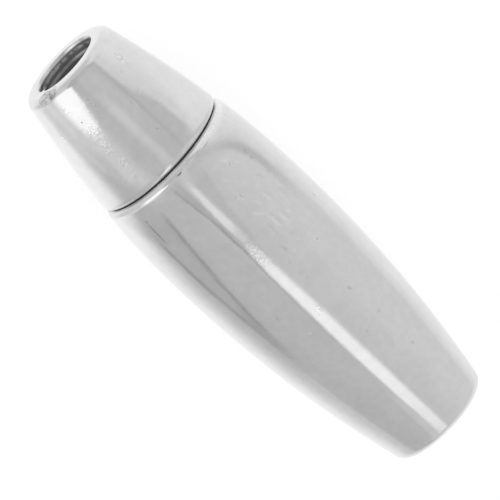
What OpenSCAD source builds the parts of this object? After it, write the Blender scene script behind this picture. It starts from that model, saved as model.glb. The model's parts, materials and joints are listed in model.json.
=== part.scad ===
// Magnetic barrel clasp for a 3 mm cord, shown closed.
// Two turned steel halves meet at a fine seam. A spigot on the short half sits in a
// socket in the long half, and a disc magnet in each holds them together.
// The axis of the barrel is X, the short half points to -X, and the origin is on the
// axis at the middle of the closed clasp.

/* [Barrel] */
// Length of the short half, from its end face to the seam
short_len = 5.65; // [5.2:0.05:8]
// Length of the long half, from the seam to its end face
long_len = 16.65; // [13:0.05:22]
// Diameter of the short half at its end face, before the edge is rounded
short_end_d = 4.56; // [4.3:0.02:5]
// Diameter of the short half at the seam, before the edge is rounded
short_seam_d = 6.54; // [6.3:0.02:7]
// Diameter of the long half at the seam, before the lip is polished down
long_seam_d = 6.76; // [6.5:0.02:7.2]
// Diameter of the long half at its end face, before the edge is rounded
long_end_d = 4.72; // [4.3:0.02:5.4]
// Radius of the lengthwise curve of the short half
short_arc_r = 52; // [30:1:90]
// Radius of the lengthwise curve of the long half
long_arc_r = 56; // [45:1:90]

/* [Edges] */
// Rounding of the short half's end face
short_edge_r = 0.42; // [0.1:0.02:0.5]
// Rounding of the long half's end face
long_edge_r = 0.5; // [0.1:0.02:0.6]
// Rounding of the short half's edge at the seam
cap_edge_r = 0.2; // [0.06:0.02:0.3]
// Rounding of the long half's lip at the seam
lip_edge_r = 0.36; // [0.06:0.02:0.4]
// Length of the lip that polishing has rolled off
lip_roll_len = 2.6; // [1:0.1:3]
// Radius of the lengthwise curve of the rolled-off lip
lip_roll_r = 28; // [20:1:40]
// Width of the seam between the two halves
seam_gap = 0.04; // [0.02:0.01:0.2]

/* [Cord bores] */
// Diameter of the bore that the cord is glued into
bore_d = 3; // [2:0.1:3.2]
// Depth of the bore in the short half
short_bore_depth = 4.2; // [3:0.1:4.5]
// Depth of the bore in the long half
long_bore_depth = 8; // [4:0.1:8.4]
// Chamfer at the mouth of each bore
bore_chamfer = 0.08; // [0.04:0.02:0.16]

/* [Spigot and magnets] */
// Diameter of the spigot
spigot_d = 5.2; // [4.8:0.1:5.6]
// Length of the spigot, from the short half's shoulder
spigot_len = 2; // [1.6:0.1:2.4]
// Chamfer on the end of the spigot, and on the mouth of the socket
lead_in = 0.14; // [0.06:0.02:0.2]
// Radial play between the spigot and its socket
spigot_play = 0.05; // [0.02:0.01:0.1]
// Space between the end of the spigot and the floor of the socket
spigot_relief = 0.15; // [0.1:0.01:0.3]
// Diameter of each magnet
magnet_d = 4; // [3:0.1:4.3]
// Thickness of each magnet
magnet_t = 2.5; // [2:0.1:2.9]
// Chamfer on the edges of each magnet
magnet_chamfer = 0.14; // [0.06:0.02:0.3]
// Gap between the faces of the two magnets
magnet_gap = 0.02; // [0.01:0.01:0.06]
// Film of glue around and behind each magnet
glue_gap = 0.03; // [0.02:0.01:0.08]

/* [Hidden] */
// Segments of a full turn, and of the large circles of the lengthwise curves
turn_fn = 128;
arc_fn = 512;
// Stations along the axis
short_end_x = -(short_len + long_len) / 2;
long_end_x = (short_len + long_len) / 2;
seam_x = short_end_x + short_len;
shoulder_x = seam_x - seam_gap / 2;
lip_x = seam_x + seam_gap / 2;
spigot_end_x = shoulder_x + spigot_len;
socket_floor_x = spigot_end_x + spigot_relief;
short_magnet_face_x = socket_floor_x - magnet_gap;
short_magnet_back_x = short_magnet_face_x - magnet_t;
short_seat_floor_x = short_magnet_back_x - glue_gap;
long_magnet_back_x = socket_floor_x + magnet_t;
long_seat_floor_x = long_magnet_back_x + glue_gap;
// Radii about the axis
bore_r = bore_d / 2;
spigot_r = spigot_d / 2;
socket_r = spigot_r + spigot_play;
magnet_r = magnet_d / 2;
seat_r = magnet_r + glue_gap;
// How far a cutting shape runs past what it cuts
past = 1;

// Profiles lie in a plane with the distance from the axis first and the place along the
// axis second. A station is such a pair, [radius, x].

// Centre of the circle of radius arc_r through stations a and b, on the side of the axis
function arc_centre(a, b, arc_r) =
    let (chord = b - a, mid = (a + b) / 2, half = norm(chord) / 2)
    let (inward = [-chord[1], chord[0]] / norm(chord))
    mid + inward * sqrt(arc_r * arc_r - half * half);

// Distance from the axis, at x, of the circle of radius arc_r about the centre c
function arc_height(c, arc_r, x) = c[0] + sqrt(arc_r * arc_r - (x - c[1]) * (x - c[1]));

// Centre of a rounding of radius edge_r between a face at x and the circle about c.
// The solid lies on the side of the face that inside, +1 or -1, points to.
function edge_centre(c, arc_r, x, inside, edge_r) =
    [arc_height(c, arc_r - edge_r, x + inside * edge_r), x + inside * edge_r];

short_arc_c = arc_centre([short_end_d / 2, short_end_x], [short_seam_d / 2, shoulder_x], short_arc_r);
long_arc_c = arc_centre([long_seam_d / 2, lip_x], [long_end_d / 2, long_end_x], long_arc_r);
// The lip's roll-off is a smaller circle, tangent to the long half's curve where it starts
roll_x = lip_x + lip_roll_len;
roll_start = [arc_height(long_arc_c, long_arc_r, roll_x), roll_x];
roll_c = roll_start + (long_arc_c - roll_start) * (lip_roll_r / long_arc_r);

// Puts a shape at p in three steps, so that no digit of a long number is lost
module at(p) {
    whole = [round(p[0]), round(p[1])];
    fine = [round(1000 * p[0]) / 1000, round(1000 * p[1]) / 1000] - whole;
    translate(whole) translate(fine) translate(p - whole - fine) children();
}

// Slice of a half between two places on the axis, bounded outward by the circle about c
module slice(c, arc_r, from_x, to_x) {
    intersection() {
        at(c) circle(r = arc_r, $fn = arc_fn);
        translate([0, from_x]) square([arc_r, to_x - from_x]);
    }
}

// Rounds the corner of the profile between a face at x and the circle about c
module rounded(c, arc_r, x, inside, edge_r) {
    e = edge_centre(c, arc_r, x, inside, edge_r);
    to_face = [0, -inside];
    to_side = (e - c) / norm(e - c);
    reach = 2 * edge_r;
    corner = [e, e + to_face * reach, e + (to_face + to_side) * reach, e + to_side * reach];
    difference() {
        children();
        polygon(corner);
    }
    intersection() {
        at(e) circle(r = edge_r, $fn = turn_fn);
        polygon(corner);
    }
}

// Hole in a profile, with a chamfer at its mouth. It runs from x along inside, +1 or -1.
module hole(x, inside, r, depth, chamfer) {
    polygon([
        [-past, x - inside * past],
        [r + chamfer + past, x - inside * past],
        [r, x + inside * chamfer],
        [r, x + inside * depth],
        [-past, x + inside * depth]
    ]);
}

// Turns a profile about the barrel's axis
module turned() {
    rotate([0, 90, 0]) rotate_extrude($fn = turn_fn) children();
}

// Short half without its hollows: the barrel's side, then the spigot
module short_blank() {
    rounded(short_arc_c, short_arc_r, shoulder_x, -1, cap_edge_r)
        rounded(short_arc_c, short_arc_r, short_end_x, 1, short_edge_r)
            slice(short_arc_c, short_arc_r, short_end_x, shoulder_x);
    polygon([
        [0, shoulder_x],
        [spigot_r, shoulder_x],
        [spigot_r, spigot_end_x - lead_in],
        [spigot_r - lead_in, spigot_end_x],
        [0, spigot_end_x]
    ]);
}

// Long half without its hollows: the rolled-off lip, then the barrel's side
module long_blank() {
    rounded(roll_c, lip_roll_r, lip_x, 1, lip_edge_r)
        slice(roll_c, lip_roll_r, lip_x, roll_x);
    rounded(long_arc_c, long_arc_r, long_end_x, -1, long_edge_r)
        slice(long_arc_c, long_arc_r, roll_x, long_end_x);
}

module short_shell() {
    seat_depth = spigot_end_x - short_seat_floor_x;
    color("silver") turned() difference() {
        short_blank();
        hole(short_end_x, 1, bore_r, short_bore_depth, bore_chamfer);
        hole(spigot_end_x, -1, seat_r, seat_depth, 0);
    }
}

module long_shell() {
    seat_depth = long_seat_floor_x - lip_x;
    color("silver") turned() difference() {
        long_blank();
        hole(lip_x, 1, socket_r, socket_floor_x - lip_x, lead_in);
        hole(lip_x, 1, seat_r, seat_depth, 0);
        hole(long_end_x, -1, bore_r, long_bore_depth, bore_chamfer);
    }
}

// Disc magnet with chamfered edges, from back_x to its face at face_x
module magnet(back_x, face_x) {
    low = min(back_x, face_x);
    high = max(back_x, face_x);
    color("gainsboro") turned() polygon([
        [0, low],
        [magnet_r - magnet_chamfer, low],
        [magnet_r, low + magnet_chamfer],
        [magnet_r, high - magnet_chamfer],
        [magnet_r - magnet_chamfer, high],
        [0, high]
    ]);
}

module short_magnet() {
    magnet(short_magnet_back_x, short_magnet_face_x);
}

module long_magnet() {
    magnet(long_magnet_back_x, socket_floor_x);
}

short_shell();
long_shell();
short_magnet();
long_magnet();
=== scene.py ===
# %% [markdown]
# # A magnetic barrel clasp in polished steel
# The clasp is two turned steel halves, held shut by a disc magnet in each. Its construction comes
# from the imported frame: the places of the seam, the bores and the magnets. Here the same forms are
# turned again with many more facets, because polished steel shows every flat of a coarse mesh,
# and they get their finish, their light and a camera.

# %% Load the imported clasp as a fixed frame
import json
import math

import bpy
from mathutils import Matrix, Vector, noise


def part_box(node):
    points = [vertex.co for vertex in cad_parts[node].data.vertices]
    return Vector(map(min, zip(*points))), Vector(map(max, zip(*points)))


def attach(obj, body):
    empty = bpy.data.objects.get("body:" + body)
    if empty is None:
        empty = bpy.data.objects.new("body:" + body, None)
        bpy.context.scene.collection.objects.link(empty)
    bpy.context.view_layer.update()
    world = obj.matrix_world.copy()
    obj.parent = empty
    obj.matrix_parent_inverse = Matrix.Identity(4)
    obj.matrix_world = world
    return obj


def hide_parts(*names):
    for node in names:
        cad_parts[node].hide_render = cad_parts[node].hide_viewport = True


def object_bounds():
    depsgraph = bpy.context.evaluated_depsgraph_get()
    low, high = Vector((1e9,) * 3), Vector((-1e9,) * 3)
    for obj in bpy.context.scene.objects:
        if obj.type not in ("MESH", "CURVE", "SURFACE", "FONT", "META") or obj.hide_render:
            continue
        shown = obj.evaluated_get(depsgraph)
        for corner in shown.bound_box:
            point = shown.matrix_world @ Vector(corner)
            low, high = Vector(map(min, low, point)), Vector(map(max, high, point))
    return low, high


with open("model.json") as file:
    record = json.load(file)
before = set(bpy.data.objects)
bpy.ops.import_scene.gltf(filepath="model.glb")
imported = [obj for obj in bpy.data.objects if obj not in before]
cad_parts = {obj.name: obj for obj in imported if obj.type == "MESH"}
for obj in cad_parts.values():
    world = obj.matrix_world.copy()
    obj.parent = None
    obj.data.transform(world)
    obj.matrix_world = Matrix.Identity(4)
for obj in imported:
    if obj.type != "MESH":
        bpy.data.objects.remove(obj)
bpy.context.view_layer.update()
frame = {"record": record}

# %% [markdown]
# ## Stations along the axis
# A lathe hand measures a turned part by stations: how far along the axis each shoulder lies, and
# how large the radius is there. The barrel's axis is X. Most stations are read from the frame, so
# the fine turning stays where the construction is. All sizes below are in millimetres, and they
# become metres at the moment when a mesh is made.

# %% Stations read from the frame
MM = 0.001


def span(node):
    """Where a node starts and ends along the axis, and its largest radius."""
    low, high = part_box(node)
    return low.x / MM, high.x / MM, high.z / MM


short_end_x, spigot_end_x, _ = span("short_shell")
lip_x, long_end_x, widest_r = span("long_shell")
short_magnet_back_x, short_magnet_face_x, magnet_r = span("short_magnet")
long_magnet_face_x, long_magnet_back_x, _ = span("long_magnet")
bores = {mount["name"]: mount["dims"] for mount in frame["record"]["mounts"]}
print("lip of the long half at", round(lip_x, 2), "mm, largest radius", round(widest_r, 2), "mm")

# %% [markdown]
# ## Sizes that the frame doesn't name
# The frame holds solids and mounts, but no radius of a curve and no size of an edge. Those are
# given here, as the construction has them. They could be measured back from the solids, which
# would be longer to read and no more exact. One thing differs: the construction has a plain
# chamfer at the mouth of each bore, and in the photograph polishing has rolled it into a soft
# edge, a little wider and deeper. What fits into something else is worked out from it:
# a seat from its magnet, and the floor of a bore from the mount that names its length.

# %% Sizes of the curves and edges
seam_gap = 0.04
short_end_r, short_seam_r, short_curve_r = 2.28, 3.27, 52
long_seam_r, long_end_r, long_curve_r = 3.38, 2.36, 56
lip_roll_len, lip_roll_r = 2.6, 28
short_end_rounding, long_end_rounding = 0.42, 0.5
cap_rounding, lip_rounding = 0.2, 0.36
bore_chamfer = 0.08
mouth_width, mouth_depth = 0.08, 0.2
spigot_r, spigot_play, lead_in = 2.6, 0.05, 0.14
glue_gap, magnet_chamfer = 0.03, 0.14

shoulder_x = lip_x - seam_gap
socket_floor_x = long_magnet_face_x
seat_r = magnet_r + glue_gap
bore_r = bores["short_cord_bore"]["r_mm"]
short_bore_floor_x = short_end_x + bore_chamfer + bores["short_cord_bore"]["length_mm"]
long_bore_floor_x = long_end_x - bore_chamfer - bores["long_cord_bore"]["length_mm"]
floors = round(short_bore_floor_x, 2), round(long_bore_floor_x, 2)
print("bore radius", bore_r, "mm, bore floors at", floors, "mm")

# %% [markdown]
# ## Curves of the profile
# A profile is a list of points, each a place along the axis and a radius. The barrel's side is one
# large arc, and each corner is a small arc that runs into it without a kink. Working the arcs out
# with their centres gives any number of points on the true curve, which a hand-placed curve or a
# Bevel modifier would only come near.

# %% Arcs and roundings
def arc_centre(start, end, radius):
    """Centre of the arc through two points, on the side of the axis."""
    chord = end - start
    inward = Vector((chord.y, -chord.x)).normalized()
    return (start + end) / 2 + inward * math.sqrt(radius ** 2 - chord.length_squared / 4)


def arc_height(centre, radius, x):
    """Distance from the axis, at x, of a point on the arc."""
    return centre.y + math.sqrt(radius ** 2 - (x - centre.x) ** 2)


def arc(centre, start, end, steps):
    """Points of an arc about a centre, from one point to another."""
    first, last = start - centre, end - centre
    angle = math.atan2(first.y, first.x)
    sweep = math.atan2(first.x * last.y - first.y * last.x, first.dot(last))
    turns = [angle + sweep * step / steps for step in range(steps + 1)]
    return [centre + first.length * Vector((math.cos(t), math.sin(t))) for t in turns]


def rounding(centre, radius, face_x, inside, size):
    """Where a rounding between a face and an arc leaves each, and its own centre."""
    x = face_x + inside * size
    middle = Vector((x, arc_height(centre, radius - size, x)))
    on_face = middle - Vector((inside * size, 0))
    on_arc = centre + (middle - centre).normalized() * radius
    return on_face, middle, on_arc


def line(start, end, steps=1):
    """Points of a straight run."""
    return [Vector(start).lerp(Vector(end), step / steps) for step in range(steps + 1)]


def mouth(face_x, inside, steps=12):
    """Points of the soft edge between the wall of a bore and the face that it opens in."""
    turns = [math.pi / 2 * step / steps for step in range(steps + 1)]
    depths = [inside * mouth_depth * (1 - math.sin(t)) for t in turns]
    widths = [mouth_width * (1 - math.cos(t)) for t in turns]
    return [Vector((face_x + depth, bore_r + width)) for depth, width in zip(depths, widths)]


# %% [markdown]
# ## The two sides of the barrel
# From the outside each half is an end rounding, one long slow curve and an edge at the seam. The
# long half has a curve more, because polishing has rolled its lip off towards the seam. Few points
# would do for the form, but polished steel would show each facet as a band, so the long curves
# get dozens of points and every rounding twenty.

# %% Outer side of the short half
ROUND_STEPS = 20
SHORT_CURVE_STEPS = 44
short_c = arc_centre(
    Vector((short_end_x, short_end_r)), Vector((shoulder_x, short_seam_r)), short_curve_r
)
end_face, end_c, end_arc = rounding(short_c, short_curve_r, short_end_x, 1, short_end_rounding)
cap_face, cap_c, cap_arc = rounding(short_c, short_curve_r, shoulder_x, -1, cap_rounding)
short_side = arc(end_c, end_face, end_arc, ROUND_STEPS)
short_side += arc(short_c, end_arc, cap_arc, SHORT_CURVE_STEPS)
short_side += arc(cap_c, cap_arc, cap_face, ROUND_STEPS)
print("short side:", len(short_side), "points, widest", round(max(p.y for p in short_side), 3), "mm")

# %% Outer side of the long half
ROLL_STEPS = 30
LONG_CURVE_STEPS = 80
long_c = arc_centre(
    Vector((lip_x, long_seam_r)), Vector((long_end_x, long_end_r)), long_curve_r
)
roll_x = lip_x + lip_roll_len
roll_start = Vector((roll_x, arc_height(long_c, long_curve_r, roll_x)))
roll_c = roll_start + (long_c - roll_start) * (lip_roll_r / long_curve_r)
lip_face, lip_c, lip_arc = rounding(roll_c, lip_roll_r, lip_x, 1, lip_rounding)
far_face, far_c, far_arc = rounding(long_c, long_curve_r, long_end_x, -1, long_end_rounding)
long_side = arc(lip_c, lip_face, lip_arc, ROUND_STEPS)
long_side += arc(roll_c, lip_arc, roll_start, ROLL_STEPS)
long_side += arc(long_c, roll_start, far_arc, LONG_CURVE_STEPS)
long_side += arc(far_c, far_arc, far_face, ROUND_STEPS)
print("long side:", len(long_side), "points, widest", round(max(p.y for p in long_side), 3), "mm")

# %% [markdown]
# ## The lathe
# A turned part is one profile swept round an axis. The Spin tool or a Screw modifier would do
# this too, but the finishes would have to be given to the faces afterwards. Building the rings in
# code lets each stretch of the profile carry its own finish: polished outside, as turned inside.
# Where the profile meets the axis, the ring shrinks to one point, and its faces to triangles.
# Vectors hold about seven digits, so the end of one arc and the start of the next can lie some
# millionths of a millimetre apart. Points nearer than a tenth of a micrometre count as one, or a
# ring of faces without area would lie between them.

# %% Rings of the lathe
SAME_PLACE = 1e-4


def ring_of(point, steps, dent):
    """Corners of a full turn of one point of the profile, or a single corner on the axis."""
    count = steps if point.y > SAME_PLACE else 1
    turns = [math.tau * step / steps for step in range(count)]
    places = [Vector((point.x, -point.y * math.sin(t), point.y * math.cos(t))) for t in turns]
    return [dent(place) for place in places] if dent else places


def bridge(before, after, steps):
    """Faces between two rings. A ring is given as its first corner and its number of corners."""
    faces = []
    for step in range(steps):
        face = []
        for (first, count), offset in ((before, 0), (before, 1), (after, 1), (after, 0)):
            corner = first + (step + offset) % count
            if corner not in face:
                face.append(corner)
        faces.append(face)
    return faces


# %% The lathe
SHARP_DEGREES = 20


def turn(name, stretches, steps, dent=None):
    """Turns a profile about X. A stretch is a list of points with the material it gets.

    A dent is a function that moves a point, and it is applied to each corner.
    """
    finishes = []
    corners = []
    faces = []
    face_finish = []
    last_point = None
    for points, finish in stretches:
        if finish not in finishes:
            finishes.append(finish)
        for point in points:
            if last_point is not None and (point - last_point).length < SAME_PLACE:
                continue
            new_corners = ring_of(point, steps, dent)
            ring = (len(corners), len(new_corners))
            corners += new_corners
            if last_point is not None:
                new_faces = bridge(last_ring, ring, steps)
                faces += new_faces
                face_finish += [finishes.index(finish)] * len(new_faces)
            last_point, last_ring = point, ring
    mesh = bpy.data.meshes.new(name)
    mesh.from_pydata([place * MM for place in corners], [], faces)
    mesh.polygons.foreach_set("material_index", face_finish)
    for finish in finishes:
        mesh.materials.append(finish)
    mesh.shade_smooth()
    mesh.set_sharp_from_angle(angle=math.radians(SHARP_DEGREES))
    piece = bpy.data.objects.new(name, mesh)
    bpy.context.scene.collection.objects.link(piece)
    print(name, len(corners), "corners,", len(faces), "faces")
    return piece


# %% [markdown]
# ## Shader arithmetic
# A procedural finish is mostly arithmetic on masks. This class wraps one socket of a shader node,
# so that a sum or a product in Python adds the Math node that works it out in the shader.

# %% A socket that can be calculated with
class Wire:
    """An output socket. Arithmetic on it adds Math nodes to its node tree."""

    def __init__(self, tree, socket=None):
        self.tree = tree
        self.socket = socket

    def node(self, kind, settings=None, inputs=None, output=0):
        """Adds a node, makes its settings, fills its inputs, and returns the output asked for."""
        made = self.tree.nodes.new(kind)
        for name, value in (settings or {}).items():
            setattr(made, name, value)
        for name, value in (inputs or {}).items():
            if isinstance(value, Wire):
                self.tree.links.new(value.socket, made.inputs[name])
            else:
                made.inputs[name].default_value = value
        if isinstance(output, tuple):
            return [Wire(self.tree, made.outputs[name]) for name in output]
        return Wire(self.tree, made.outputs[output] if made.outputs else None)

    def math(self, operation, *values):
        return self.node("ShaderNodeMath", {"operation": operation}, dict(enumerate(values)))

    def __add__(self, other):
        return self.math("ADD", self, other)

    def __sub__(self, other):
        return self.math("SUBTRACT", self, other)

    def __mul__(self, other):
        return self.math("MULTIPLY", self, other)

    def __rsub__(self, other):
        return self.math("SUBTRACT", other, self)

    __radd__ = __add__
    __rmul__ = __mul__

    def larger(self, other):
        return self.math("MAXIMUM", self, other)

    def rise(self, start, end):
        """0 before start and 1 after end, with a smooth step between. It falls if start is the larger."""
        settings = {"interpolation_type": "SMOOTHSTEP"}
        return self.node("ShaderNodeMapRange", settings, {"Value": self, 1: start, 2: end})

    def band(self, start, end, soft):
        """1 between start and end, with edges of a given softness centred there."""
        return self.rise(start - soft / 2, start + soft / 2) * self.rise(end + soft / 2, end - soft / 2)

    def over(self, below, mask):
        """This value laid over the one below, as far as the mask says."""
        return below + mask * (self - below)

    def stretched(self, x, y, z):
        """A vector with each of its parts multiplied."""
        settings = {"operation": "MULTIPLY"}
        return self.node("ShaderNodeVectorMath", settings, {0: self, 1: (x, y, z)})

    def distance_to(self, point):
        settings = {"operation": "DISTANCE"}
        return self.node("ShaderNodeVectorMath", settings, {0: self, 1: point}, "Value")

    def cloud(self, scale, detail=2.0, roughness=0.5):
        """Soft noise between 0 and 1 over the places that this vector gives."""
        inputs = {"Vector": self, "Scale": scale, "Detail": detail, "Roughness": roughness}
        return self.node("ShaderNodeTexNoise", inputs=inputs)


def lay(below, mask, value):
    """A number laid over a wire, as far as the mask says."""
    return below + mask * (value - below)


# %% [markdown]
# ## The camera
# The photograph looks down on the lying clasp, 15 degrees towards its bored end, from far away,
# so that the barrel's two ends hardly differ in scale. The camera's own axes are built from the
# directions that the barrel's axis and its side take in the picture. A very long lens gives this
# nearly flat perspective. An orthographic camera would come close to it too.

# %% Camera
tilt = math.radians(15.2)
slant = math.radians(43.28)
picture_px = 500
px_per_mm = 24.07
axis_middle_px = (252.9, 241.55)

back = Vector((-math.sin(tilt), 0, math.cos(tilt)))
along_axis = Vector((math.cos(tilt), 0, math.sin(tilt)))
to_lower_left = Vector((0, -1, 0))
right = math.cos(slant) * along_axis - math.sin(slant) * to_lower_left
up = -math.sin(slant) * along_axis - math.cos(slant) * to_lower_left

camera_data = bpy.data.cameras.new("camera")
camera_data.lens = 1400
camera_data.clip_start = 0.01
camera_data.clip_end = 3
frame_width = picture_px / px_per_mm * MM
distance = frame_width * camera_data.lens / camera_data.sensor_width
picture_centre = (picture_px - 1) / 2
off_centre = [(pixel - picture_centre) / px_per_mm * MM for pixel in axis_middle_px]
target = up * off_centre[1] - right * off_centre[0]

camera = bpy.data.objects.new("camera", camera_data)
turn_to_view = Matrix((right, up, back)).transposed().to_4x4()
camera.matrix_world = Matrix.Translation(target + back * distance) @ turn_to_view
bpy.context.scene.collection.objects.link(camera)
bpy.context.scene.camera = camera
print("camera distance", round(distance, 3), "m, picture width", round(frame_width / MM, 2), "mm")

# %% [markdown]
# ## The light tent
# Polished steel has no look of its own: it shows the room. Small shiny goods are photographed in
# a tent of white cloth, lit from outside, and what gives the barrel its form is how bright each
# wall of the tent is. The tent here is the world's own shader, a brightness for each direction.
# A direction is given as the barrel sees it: degrees around its axis, from straight up towards
# the picture's lower left, and degrees along it, towards the long end. Area lamps would be
# quicker to set, but they give hard-edged boxes and no soft folds of cloth.

# %% Directions of the tent
world = bpy.data.worlds.new("light_tent")
bpy.context.scene.world = world
world.use_nodes = True
world.node_tree.nodes.clear()
start = Wire(world.node_tree)
direction = start.node("ShaderNodeTexCoord", output="Generated")
dx, dy, dz = start.node("ShaderNodeSeparateXYZ", inputs={0: direction}, output=(0, 1, 2))
DEGREES = math.degrees(1)
around = start.math("ARCTAN2", 0 - dy, dz) * DEGREES
along = start.math("ARCSINE", dx) * DEGREES
wrinkle_degrees = 5
wrinkle = direction.stretched(2.5, 1, 1).cloud(26, 3, 0.6) - 0.5
around = around + wrinkle_degrees * wrinkle
print("the tent's directions take", len(world.node_tree.nodes), "nodes")

# %% [markdown]
# ## What the long half shows
# Each line lays one wall, fold or lamp over the cloth, as far as its mask says. A mask is a
# product of soft steps, whose numbers are degrees in the two directions. The number after the mask
# is the brightness that is laid, where 1 is the white of the backdrop. So the tent is built as a
# painter builds a picture, back to front. The long half shows grey cloth along its middle, with
# two dark folds that meet in a pointed arch, a creased fold on the other side, and a strip light
# that breaks off near the lip. Real sheets and lamps could be placed round the clasp instead, but
# then each of their edges would have to be aimed by trial, and they would stand in the way of
# every other view.

# %% Cloth and walls in front of the long half
cloth = 0.81 - 0.09 * around.rise(-75, -5) - 0.075 * around.rise(16, 26) - 0.04 * around.rise(45, 80)
near_lip = (13.2 - along).larger(0)
left_seam = 0.47 * near_lip * near_lip - 98
past_seam = around - left_seam
long_tent = lay(cloth, past_seam.band(-7, 6, 7) * along.rise(15, 12.5), 0.65)
long_tent = lay(long_tent, past_seam.rise(-7, -18), 0.91)
long_tent = lay(long_tent, past_seam.rise(-16, -36), 1.0)
long_tent = lay(long_tent, around.rise(96, 103) * along.rise(20, 25), 0.72)
long_tent = lay(long_tent, around.rise(97, 148), 1.06)
glow = (around + 15 * along.rise(9, 6)).rise(100, 138) * along.rise(15.5, 10.5)
long_tent = lay(long_tent, glow, 1.15)
print("with the walls of the long half:", len(world.node_tree.nodes), "nodes")

# %% Dark folds in the cloth
arch_leg = 56 + 0.5 * along + 0.05 * along * along - 1.5 * along.band(8, 13, 2)
arch_end = along.rise(4, 8) * along.rise(22, 19)
arch = (around - arch_leg).rise(-3, 1) * around.rise(100, 95) * arch_end
long_tent = lay(long_tent, arch, 0.565)
right_leg = around + 1.5 * (10 - along).larger(0) + 0.8 * (along - 15).larger(0)
left_line = (around - arch_leg).band(-3.2, 2.6, 3.4)
right_line = right_leg.band(95, 101, 4) * along.rise(8, 12)
arch_top = 0.7 * along.band(18, 21.5, 3) * around.band(83, 97, 6)
patchy = 0.72 + 0.36 * direction.cloud(13, 2).rise(0.38, 0.6)
arch_line = left_line.larger(right_line) * arch_end * patchy
long_tent = lay(long_tent, arch_line.larger(arch_top), 0.42)
left_fold = (around - 2 * along).rise(-36, -31) * around.rise(2, -4) * along.band(3, 16, 3)
long_tent = lay(long_tent, left_fold, 0.65)
past_crease = around - 17 - 0.9 * (10.8 - along).larger(0) - 0.55 * (along - 14).larger(0)
right_fold = around.rise(9, 13) * past_crease.rise(1, -1) * along.rise(15, 13)
long_tent = lay(long_tent, right_fold, 0.57)
crease = past_crease.band(-1.4, 1.4, 1.8) * along.rise(1, 4) * along.rise(30, 14) * patchy
long_tent = lay(long_tent, crease, 0.42)
print("with the folds:", len(world.node_tree.nodes), "nodes")

# %% Strip lights over the long half
strip = (around - 0.25 * (22 - along).larger(0)).rise(-3, 6.5) * (around - 0.42 * along).rise(12, 6.4)
strip = strip * along.rise(14.2, 17.8) * along.rise(75, 60) * (1 - 0.3 * along.rise(33, 40))
long_tent = lay(long_tent, strip, 1.17)
dim_strip = around.rise(-2, 3.5) * (around - 0.55 * along).rise(6.5, 3)
dim_strip = dim_strip * along.rise(2, 5) * along.rise(13, 12.2)
long_tent = lay(long_tent, dim_strip, 0.98)
strip_end = (around - 1.2 * along).rise(-2, -8) * around.rise(14, 20) * along.rise(30, 36)
long_tent = lay(long_tent, (strip_end - strip).larger(0), 0.75)
print("with the strip lights:", len(world.node_tree.nodes), "nodes")

# %% [markdown]
# ## What the short half shows
# The short half leans the other way, so it shows the other end of the tent: a darker cloth with a
# faint ridge, a light wall on either side, and the key light as one white patch near its bore. On
# the small radius of an edge the whole tent shrinks into a thin line. That is why the same key
# light is also the white line along the lip at the seam. The two tents are joined where neither
# half looks.

# %% Cloth, walls and key light in front of the short half
ridge = 0.05 * around.band(-32, 6, 14) * along.rise(-3, -6)
ridge = ridge + 0.10 * around.band(-9, 6, 10) * along.rise(-9, -6.5)
ridge = ridge - 0.05 * (around - along).band(-36, -30, 4)
short_tent = 0.645 + ridge - 0.05 * along.rise(-11, -16)
left_wall = around + 17 * along.rise(-6.5, -1) - 6 * along.rise(-25, -40)
short_tent = lay(short_tent, left_wall.rise(-40, -50), 0.86)
short_tent = lay(short_tent, left_wall.rise(-50, -84), 0.98)
short_tent = lay(short_tent, around.rise(27, 50), 0.80)
short_tent = lay(short_tent, around.band(66, 84, 8) * along.rise(-1.5, 0.5), 0.71)
short_tent = lay(short_tent, around.rise(74, 90) * along.band(-9, -1.5, 3), 0.93)
short_tent = lay(short_tent, around.rise(98, 125) * along.rise(-12, -6), 1.05)
below = around.rise(125, 150).larger(around.rise(-105, -135)) * along.rise(-68, -58)
short_tent = lay(short_tent, below, 0.96 + 0.11 * along.rise(-50, -15))
short_tent = lay(short_tent, along.rise(-60, -70), 0.74)
at_lip = along.rise(-17, -25)
key = (around - 3.9 * along - 6 * (along + 5).larger(0)).rise(57.5, 65.5)
key = key * (around - 10 * at_lip).rise(21, 28) * (around - 3 * at_lip).rise(84, 62)
key = key * along.rise(-2.7, -4.9) * along.rise(-44, -23)
short_tent = lay(short_tent, key, 1.34)
tent = short_tent.over(long_tent, along.rise(2.6, 1.3))
print("with the short half's side:", len(world.node_tree.nodes), "nodes")

# %% [markdown]
# ## Backdrop
# The camera itself must not see the tent, or its folds would stand behind the clasp. A Light Path
# node tells the camera's own rays from those that come off the steel, and gives them plain white.

# %% Light for the steel, and a white backdrop for the camera
is_camera = start.node("ShaderNodeLightPath", output="Is Camera Ray")
tent_light = start.node("ShaderNodeBackground", inputs={"Color": (1, 1, 1, 1), "Strength": tent})
backdrop = start.node("ShaderNodeBackground", inputs={"Color": (1, 1, 1, 1), "Strength": 1.0})
light = start.node("ShaderNodeMixShader", inputs={0: is_camera, 1: tent_light, 2: backdrop})
start.node("ShaderNodeOutputWorld", inputs={"Surface": light})
bpy.context.scene.view_settings.view_transform = "Standard"
print("world", world.name, "has", len(world.node_tree.nodes), "nodes")

# %% [markdown]
# ## The floor
# The clasp lies on a sheet of white paper without a seen edge. The sheet glows a little, as white
# paper does under an exposure that is set for it. It stays out of the reflections, because the
# tent already holds what the barrel's underside shows, and a bright floor would wash that out. A
# shadow catcher would also keep the background white, but it has no surface for the soft shade
# that the barrel throws.

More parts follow.
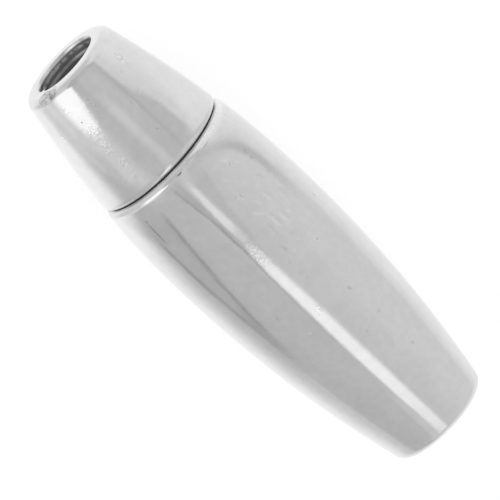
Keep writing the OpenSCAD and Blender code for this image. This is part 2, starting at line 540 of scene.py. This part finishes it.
# %% Floor
floor_mesh = bpy.data.meshes.new("floor")
floor_half = 0.45
floor_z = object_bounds()[0].z
signs = [(-1, -1), (1, -1), (1, 1), (-1, 1)]
sheet_corners = [(sx * floor_half, sy * floor_half, floor_z) for sx, sy in signs]
floor_mesh.from_pydata(sheet_corners, [], [(0, 1, 2, 3)])
floor = bpy.data.objects.new("floor", floor_mesh)
bpy.context.scene.collection.objects.link(floor)
floor.visible_glossy = False
floor_paint = bpy.data.materials.new("white_sheet")
floor_paint.use_nodes = True
floor_paint.node_tree.nodes.clear()
sheet = Wire(floor_paint.node_tree)
grain = sheet.node("ShaderNodeTexCoord", output="Object").cloud(900, 3)
paper = sheet.node(
    "ShaderNodeBsdfPrincipled",
    inputs={
        "Base Color": (0.6, 0.6, 0.6, 1),
        "Roughness": 0.9 - 0.1 * grain,
        "Specular IOR Level": 0.0,
        "Emission Color": (1, 1, 1, 1),
        "Emission Strength": 0.62,
    },
)
sheet.node("ShaderNodeOutputMaterial", inputs={"Surface": paper})
floor_mesh.materials.append(floor_paint)
print("floor at", round(floor_z / MM, 2), "mm")

# %% [markdown]
# ## Building a finish
# Every finish here is bare metal, so all of them share their last two nodes: a Bump that turns
# heights into a normal, and the shader. Heights are given in micrometres, the unit in which a
# polisher thinks. Object coordinates are scaled to millimetres first, so that noise scales read as
# lumps per millimetre. Displacing the mesh instead would need millions of corners for lumps that
# are far too shallow to be seen from the side.

# %% What all finishes share
MICROMETRE = 0.001 * MM


def new_finish(name):
    finish = bpy.data.materials.new(name)
    finish.use_nodes = True
    finish.node_tree.nodes.clear()
    return finish, Wire(finish.node_tree)


def coat(start, colour, roughness, height, glow=0.0):
    """Ends a metal finish. The height of its surface is in micrometres."""
    normal = start.node(
        "ShaderNodeBump", inputs={"Height": height, "Distance": MICROMETRE, "Strength": 1.0}
    )
    metal = start.node(
        "ShaderNodeBsdfPrincipled",
        inputs={
            "Base Color": colour,
            "Metallic": 1.0,
            "Roughness": roughness,
            "Normal": normal,
            "Emission Color": (1, 1, 1, 1),
            "Emission Strength": glow,
        },
    )
    start.node("ShaderNodeOutputMaterial", inputs={"Surface": metal})
    print("finish with", len(start.tree.nodes), "nodes")


def blend_colours(start, factor, first, second):
    """Mixes two colours. A Mix node keeps its colour sockets after those for numbers and vectors."""
    settings = {"data_type": "RGBA"}
    return start.node("ShaderNodeMix", settings, {0: factor, 6: first, 7: second}, 2)


def grey(level):
    return (level, level, level, 1)


def in_millimetres(start):
    return start.node("ShaderNodeTexCoord", output="Object").stretched(1 / MM, 1 / MM, 1 / MM)


# %% [markdown]
# ## Marks of wear
# Steel doesn't stay as clean as the polishing wheel left it. The photograph shows specks, hazy
# strokes, rubbed patches, a scratch on the long half and a dark dash on its lip. Each is a soft
# ellipse on the skin of the barrel. Each was picked in the photograph, and the angles of the
# camera gave its place. A Mapping node of the Texture type moves, turns and shrinks the skin until
# that ellipse is a unit circle, and the distance from its middle is the mask.
# Noise added to the skin first gives the marks ragged edges. A painted image could hold them too,
# but here each mark can be moved by its numbers and stays sharp at any size.

# %% A blot on the skin of the barrel
mean_radius = 3.4
mm_per_degree = math.radians(mean_radius)


def blot(skin, along_axis_mm, turned_degrees, half_length, half_width, lean=0):
    """A soft ellipse on the skin of the barrel: 1 around its middle and 0 a little outside its edge."""
    place = {
        "Vector": skin,
        "Location": (along_axis_mm, turned_degrees * mm_per_degree, 0),
        "Rotation": (0, 0, math.radians(lean)),
        "Scale": (half_length, half_width, 1),
    }
    circle = skin.node("ShaderNodeMapping", {"vector_type": "TEXTURE"}, place)
    return circle.distance_to((0, 0, 0)).rise(1.2, 0.5)


# %% Dark specks: place along the axis (mm) and round it (degrees), half length (mm), darkening
specks = [
    (0.03, -61.5, 0.08, 0.17), (1.05, -32.2, 0.08, 0.22), (3.49, -22.9, 0.12, 0.17),
    (7.22, -29.5, 0.10, 0.15), (5.13, -26.6, 0.09, 0.12), (5.29, -9.8, 0.08, 0.10),
    (1.77, -7.5, 0.08, 0.10), (0.24, -11.2, 0.13, 0.06), (2.14, 27.6, 0.12, 0.06),
    (-2.33, -45.5, 0.07, 0.12), (-3.24, -44.8, 0.10, 0.13), (-3.60, -46.1, 0.12, 0.12),
    (-7.73, -29.5, 0.06, 0.07), (-8.62, -15.2, 0.10, 0.06), (-9.70, -32.4, 0.10, 0.07),
    (-10.81, -29.4, 0.06, 0.10), (-9.50, 28.7, 0.06, 0.65),
]
# %% Hazy strokes: place, half length (mm), lean (degrees), how much lighter or darker
strokes = [
    (-1.74, -43.1, 0.38, -8, 0.05), (-1.31, -38.7, 0.24, 0, 0.05), (-2.53, -37.6, 0.23, -20, -0.07),
    (-3.61, -34.1, 0.22, -25, 0.05), (-0.65, -32.7, 0.18, -5, 0.055), (-1.73, -31.8, 0.28, -10, -0.05),
    (-0.68, -29.5, 0.33, -3, -0.05), (-1.75, -29.2, 0.28, -7, 0.05), (-4.15, -27.9, 0.20, -35, 0.05),
    (-4.76, -27.5, 0.20, -40, 0.06), (-3.60, -27.1, 0.15, -25, 0.035), (-0.63, -26.6, 0.33, -4, 0.08),
    (-0.85, -22.8, 0.48, -4, -0.06), (0.40, -22.8, 0.10, -50, 0.05), (-0.01, -22.3, 0.09, -40, -0.05),
    (-1.95, -21.2, 0.22, -30, 0.045), (-0.96, -19.8, 0.50, -5, 0.07), (-3.59, -17.3, 0.20, -40, 0.035),
    (-1.63, -16.1, 0.30, -35, 0.06), (-0.75, -15.3, 0.45, 4, -0.055), (0.54, -14.6, 0.35, 8, 0.04),
    (0.15, -10.8, 0.25, -8, -0.05), (0.19, -9.3, 0.11, 30, 0.05), (0.71, -7.5, 0.17, 25, -0.06),
    (-8.44, -16.6, 0.26, 15, 0.05), (3.57, 19.5, 0.06, 0, 0.12),
]
# %% Cuts and smears: place, half length and half width (mm), lean (degrees), how much lighter or darker
cuts_and_smears = {
    "dash on the lip": (-5.21, 0.7, 0.05, 0.15, 0, -0.60),
    "scratch": (-3.92, 45.5, 0.68, 0.07, 0, -0.26),
    "start of the scratch": (-4.58, 45.2, 0.08, 0.08, 0, -0.25),
    "short cut on the long half": (-3.86, -29.0, 0.18, 0.03, 48, -0.14),
    "short cut on the short half": (-7.12, -13.2, 0.11, 0.03, -50, -0.16),
    "ring of haze": (1.05, -32.2, 0.17, 0.15, 0, 0.05),
    "long smear": (6.30, -16.6, 0.55, 0.20, 10, -0.04),
    "round smear": (1.39, -7.1, 0.14, 0.12, 0, -0.05),
    "smear by the end": (-8.46, -53.9, 0.32, 0.06, 0, -0.04),
    "haze between the strips": (-0.50, 4.2, 0.85, 0.24, 0, 0.10),
}
# %% Rubbed patches: place, half length and half width (mm)
rubbed_patches = [
    (-8.86, 25.0, 0.42, 0.60), (-8.00, 27.8, 0.42, 0.34), (-7.10, 25.0, 0.36, 0.26),
    (-10.30, 33.0, 0.28, 0.22), (-9.38, 60.0, 0.22, 0.26), (-6.51, 25.6, 0.20, 0.16),
    (-9.75, 9.5, 0.50, 0.16), (-10.0, -44.7, 0.40, 0.36), (-2.67, -15.9, 0.20, 0.18),
    (-0.50, 4.2, 0.95, 0.30), (3.08, 3.3, 0.26, 0.18),
]
STROKE_HALF_WIDTH = 0.07
SPECK_WIDTH_SHARE = 0.8
marks = [(x, turned, size, SPECK_WIDTH_SHARE * size, 0, -dark) for x, turned, size, dark in specks]
marks += [stroke[:3] + (STROKE_HALF_WIDTH,) + stroke[3:] for stroke in strokes]
marks += cuts_and_smears.values()
print(len(marks), "marks and", len(rubbed_patches), "rubbed patches")

# %% [markdown]
# ## Polished steel
# The outside was ground on the lathe and then buffed by hand. Buffing leaves long shallow waves
# that bend the reflections, fine lines round the barrel, and a thin haze where fingers touched it.
# The waves and lines are heights, the haze is roughness, and the marks change the colour. On its
# flanks both edges of the seam are painted darker: painted shade of the gap between the halves.
# A bright metal with one roughness would be quicker, but it looks like chrome plate fresh from the bath.
# The skin of the barrel is unrolled first: x along it, and the angle round it times a mean radius.

# %% Torn metal at the nick, painted shade along the seam, and ragged edges
nick_middle = Vector((-11.09, -1.40, 1.44))
nick_run = Vector((0, -0.69, -0.72))
torn_half_run, torn_core, torn_edge = 0.23, 0.26, 0.42
flank_start, flank_end = 61, 72
# Painted shade along the seam: how far it reaches onto the cap and onto the lip, and its softness, in mm.
seam_shade_on_cap, seam_shade_on_lip, seam_shade_softness = 0.04, 0.05, 0.06
raggedness = 0.14


def ragged_noise(place):
    """Noise of some hundredths of a millimetre, to make the edge of a mark ragged."""
    return raggedness * (place.cloud(5, 2) - 0.5)


def torn_by_nick(place):
    """1 near either of two points on the run of the nick, and 0 away from both."""
    first = place.distance_to(tuple(nick_middle - torn_half_run * nick_run))
    second = place.distance_to(tuple(nick_middle + torn_half_run * nick_run))
    return first.rise(torn_edge, torn_core).larger(second.rise(torn_edge, torn_core))


def painted_seam_shade(start, x, turned):
    """Painted shade of the seam's gap: 1 on both edges of the seam, on the two flanks of the barrel only.
    """
    in_seam = x.band(shoulder_x - seam_shade_on_cap, lip_x + seam_shade_on_lip, seam_shade_softness)
    on_flank = start.math("ABSOLUTE", turned).rise(flank_start, flank_end)
    return in_seam * on_flank


# %% Polished steel
def polished_steel():
    finish, start = new_finish("polished_steel")
    place = in_millimetres(start)
    x, y, z = start.node("ShaderNodeSeparateXYZ", inputs={0: place}, output=(0, 1, 2))
    turned = start.math("ARCTAN2", 0 - y, z) * DEGREES
    ragged = ragged_noise(place)
    ragged_round = ragged_noise(place.stretched(-1, 1, 1))
    skin = start.node(
        "ShaderNodeCombineXYZ", inputs={0: x + ragged, 1: turned * mm_per_degree + ragged_round}
    )

    worn = sum(mark[-1] * blot(skin, *mark[:-1]) for mark in marks)
    rubbed = sum(blot(skin, *patch) for patch in rubbed_patches)
    rubbed_lip = (x + 1.5 * ragged).band(lip_x + 0.04, lip_x + 0.34, 0.3) * turned.rise(30, 12)
    mottle = place.cloud(11, 3, 0.6).rise(0.4, 0.6) - 0.5
    nick = torn_by_nick(place)
    torn = place.cloud(4, 3, 0.6).rise(0.3, 0.68) - 0.5
    worn = worn + 0.2 * rubbed * mottle + rubbed_lip * (0.08 + 0.1 * mottle) + nick * (0.6 * torn - 0.3)
    # Painted shade: the steel is darkened along both edges of the seam on the flanks.
    worn = worn + 0.10 * (place.cloud(2.8, 3, 0.6) - 0.5) - 0.32 * painted_seam_shade(start, x, turned)

    waves = place.cloud(0.45, 1) * 2.4 + place.cloud(1.9, 2) * 1.5 + place.cloud(4, 2) * 0.7
    ripples = place.cloud(10, 2) * 0.45
    lines = place.stretched(18, 1, 1).cloud(1.5, 2) * 0.03
    smudge = place.cloud(0.7, 4, 0.6)
    level = (0.70 + 0.03 * smudge.rise(0.3, 0.7)) * (1 + worn)
    colour = start.node("ShaderNodeCombineColor", inputs={0: level, 1: level, 2: level})
    roughness = 0.05 + 0.06 * smudge + 0.2 * nick
    coat(start, colour, roughness, waves + ripples + lines + 1.4 * rubbed * place.cloud(13, 2))
    return finish


steel = polished_steel()

# %% [markdown]
# ## Steel as it left the lathe
# The spigot, the socket and the seats are hidden when the clasp is shut, and nobody polishes them.
# The tool leaves a groove that depends only on the place along the axis and the distance from it,
# so the noise is read at that pair of numbers and comes out as rings. Grease has darkened it in
# places. Anisotropic shading could stand for the grooves, but it shows none of them close up.
# Without a glow the narrow seam came out darker than in the photograph, so a very faint one lifts
# it. The mouths of the bores have the same finish, cleaner and without the glow.

# %% Steel inside the joint
def turned_steel(name, clean, greasy, glow):
    finish, start = new_finish(name)
    place = in_millimetres(start)
    x = start.node("ShaderNodeSeparateXYZ", inputs={0: place}, output=0)
    radius = place.stretched(0, 1, 1).distance_to((0, 0, 0))
    groove = start.node("ShaderNodeCombineXYZ", inputs={0: x, 1: radius}).cloud(5, 3) * 6
    dirt = place.cloud(1.6, 4, 0.6).rise(0.35, 0.7)
    colour = blend_colours(start, dirt, grey(clean), grey(greasy))
    coat(start, colour, 0.22 + 0.1 * dirt, groove, glow)
    return finish


inner_steel = turned_steel("turned_steel", 0.62, 0.42, 0.02)
mouth_steel = turned_steel("mouth_steel", 0.70, 0.54, 0.0)

# %% [markdown]
# ## Steel of the cord bores
# A drill leaves a rougher, darker wall, with chatter marks across it. In the photograph two broken
# light rings lie below the mouth, where light from outside falls on the wall, and here that light is
# painted: two bands of the wall get a much lighter colour. They are bands of the depth, which is
# measured from the nearer end because both bores are alike. Noise breaks them up. The lower ring is
# also rougher on the side of +Y, the picture's upper right, so that it catches light there. Grooves
# in the mesh could do this too, but bands are easier to move.

# %% Steel in the bores
def drilled_steel():
    finish, start = new_finish("drilled_steel")
    place = in_millimetres(start)
    x, y = start.node("ShaderNodeSeparateXYZ", inputs={0: place}, output=(0, 1))
    depth = long_end_x - start.math("ABSOLUTE", x)
    blotch = place.cloud(2.2, 3, 0.6).rise(0.35, 0.6)
    # Painted light: two bands below the mouth where the wall gets a much lighter colour, as light from
    # outside falls there.
    upper_painted_light_ring = depth.band(0.20, 0.34, 0.10) * blotch
    lower_painted_light_ring = depth.band(0.49, 0.61, 0.08)
    painted_light_rings = upper_painted_light_ring + lower_painted_light_ring * (0.5 + 0.5 * blotch)
    roughness = 0.62 - 0.1 * painted_light_rings + 0.3 * lower_painted_light_ring * y.rise(0, 0.7)
    chatter = place.stretched(3, 1, 1).cloud(4, 3) * 8
    # Painted light: the wall's colour rises from dark grey to near white in the two rings below the
    # mouth.
    colour = blend_colours(start, painted_light_rings, grey(0.33), grey(0.95))
    coat(start, colour, roughness, chatter)
    return finish


bore_steel = drilled_steel()

# %% [markdown]
# ## Nickel plate of the magnets
# Bare neodymium rusts, so these discs are plated with nickel. The plate is warmer than the steel
# and follows the sintered grain below it, which gives a faint orange peel.

# %% Nickel plate
def nickel():
    finish, start = new_finish("nickel_plate")
    place = in_millimetres(start)
    peel = place.cloud(6, 3) * 0.8
    haze = place.cloud(1.2, 3)
    colour = blend_colours(start, haze, (0.66, 0.63, 0.58, 1), (0.56, 0.53, 0.49, 1))
    coat(start, colour, 0.18 + 0.12 * haze, peel)
    return finish


nickel_plate = nickel()

# %% [markdown]
# ## The nick at the bore
# Something hard has struck the rim of the short half's bore: it pushed a dent into the end face,
# and a small burr stands into the bore beside it. Both change the outline of the dark mouth, so
# they have to be form and not colour. They could be sculpted, but a function that moves each
# corner as the lathe makes it can be read, and gives the same dent each time.

# %% The nick and its burr
nick_inward = Vector((0.82, 0.42, -0.39))
nick_half_length, nick_half_width, nick_depth = 0.56, 0.26, 0.07
burr_turned, burr_half_width, burr_reach, burr_root = 68, 5, 0.2, 0.1
rim_lumps, rim_unevenness = 6, 0.35
floor_lumps, floor_unevenness = 9, 0.5
wall_steepness = 3
print("nick", 2 * nick_half_length, "by", 2 * nick_half_width, "mm, burr", burr_reach, "mm")


def nicked(place):
    """Moves a point of the short half by the nick, and by the burr that it pushed into the bore."""
    offset = place - nick_middle
    run = offset.dot(nick_run)
    across = (offset - run * nick_run).length
    ragged = 1 + rim_unevenness * noise.noise(place * rim_lumps)
    inside = 1 - math.hypot(run / nick_half_length, across / nick_half_width) / ragged
    if inside > 0:
        floor_share = 0.75 + floor_unevenness * noise.noise(place * floor_lumps)
        return place + nick_inward * nick_depth * min(1, inside * wall_steepness) * floor_share
    radius = math.hypot(place.y, place.z)
    turned = math.degrees(math.atan2(-place.y, place.z))
    near_edge = max(0, 1 - abs(radius - bore_r - mouth_width) / burr_root)
    near_edge = near_edge * max(0, 1 - (place.x - short_end_x) / burr_root)
    burr = burr_reach * near_edge * max(0, 1 - abs(turned - burr_turned) / burr_half_width)
    if burr > 0:
        shrink = 1 - burr / radius
        return Vector((place.x, place.y * shrink, place.z * shrink))
    return place


# %% [markdown]
# ## The two halves
# Each half is one closed profile: in at the bore, out over the end face, along the polished side,
# and back over the spigot or through the socket. It starts and ends on the axis, so the turned mesh
# is watertight. The last number of each line is how many steps it is cut into. The fine halves
# stand in for the coarser nodes of the frame, and ride the same bodies, so they turn and pull
# apart with them.

# %% Short half
SHELL_STEPS = 384
short_seat_x = short_magnet_back_x - glue_gap
short_profile = [
    (line((short_bore_floor_x, 0), (short_bore_floor_x, bore_r), 6), bore_steel),
    (line((short_bore_floor_x, bore_r), (short_end_x + mouth_depth, bore_r), 12), bore_steel),
    (mouth(short_end_x, 1), mouth_steel),
    (line((short_end_x, bore_r + mouth_width), end_face, 14), steel),
    (short_side, steel),
    (line(cap_face, (shoulder_x, spigot_r), 4), inner_steel),
    (line((shoulder_x, spigot_r), (spigot_end_x - lead_in, spigot_r), 8), inner_steel),
    (line((spigot_end_x, spigot_r - lead_in), (spigot_end_x, seat_r), 2), inner_steel),
    (line((spigot_end_x, seat_r), (short_seat_x, seat_r), 4), inner_steel),
    (line((short_seat_x, seat_r), (short_seat_x, 0), 4), inner_steel),
]
short_half = turn("steel_short_half", short_profile, SHELL_STEPS, nicked)
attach(short_half, "short_half")
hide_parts("short_shell")

# %% Long half
socket_r = spigot_r + spigot_play
long_seat_x = long_magnet_back_x + glue_gap
long_profile = [
    (line((long_seat_x, 0), (long_seat_x, seat_r), 4), inner_steel),
    (line((long_seat_x, seat_r), (socket_floor_x, seat_r), 4), inner_steel),
    (line((socket_floor_x, seat_r), (socket_floor_x, socket_r), 2), inner_steel),
    (line((socket_floor_x, socket_r), (lip_x + lead_in, socket_r), 6), inner_steel),
    (line((lip_x, socket_r + lead_in), lip_face, 4), inner_steel),
    (long_side, steel),
    (line(far_face, (long_end_x, bore_r + mouth_width), 8), steel),
    (mouth(long_end_x, -1)[::-1], mouth_steel),
    (line((long_end_x - mouth_depth, bore_r), (long_bore_floor_x, bore_r), 16), bore_steel),
    (line((long_bore_floor_x, bore_r), (long_bore_floor_x, 0), 6), bore_steel),
]
long_half = turn("steel_long_half", long_profile, SHELL_STEPS)
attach(long_half, "long_half")
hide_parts("long_shell")

# %% [markdown]
# ## The magnets
# Two plain discs with chamfered edges, one glued into each half. When the clasp is pulled apart
# their faces are the first thing to be seen. A cylinder with a bevel would look the same. Turning
# them keeps one way of making for all the pieces.

# %% Magnets
MAGNET_STEPS = 192


def magnet_profile(face_x, back_x):
    edge = math.copysign(magnet_chamfer, back_x - face_x)
    points = line((back_x, 0), (back_x, magnet_r - magnet_chamfer), 4)
    points += line((back_x - edge, magnet_r), (face_x + edge, magnet_r), 4)
    points += line((face_x, magnet_r - magnet_chamfer), (face_x, 0), 6)
    return [(points, nickel_plate)]


for name, body, node, face_x, back_x in (
    ("nickel_short_magnet", "short_half", "short_magnet", short_magnet_face_x, short_magnet_back_x),
    ("nickel_long_magnet", "turning_magnet", "long_magnet", long_magnet_face_x, long_magnet_back_x),
):
    magnet = turn(name, magnet_profile(face_x, back_x), MAGNET_STEPS)
    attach(magnet, body)
    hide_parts(node)
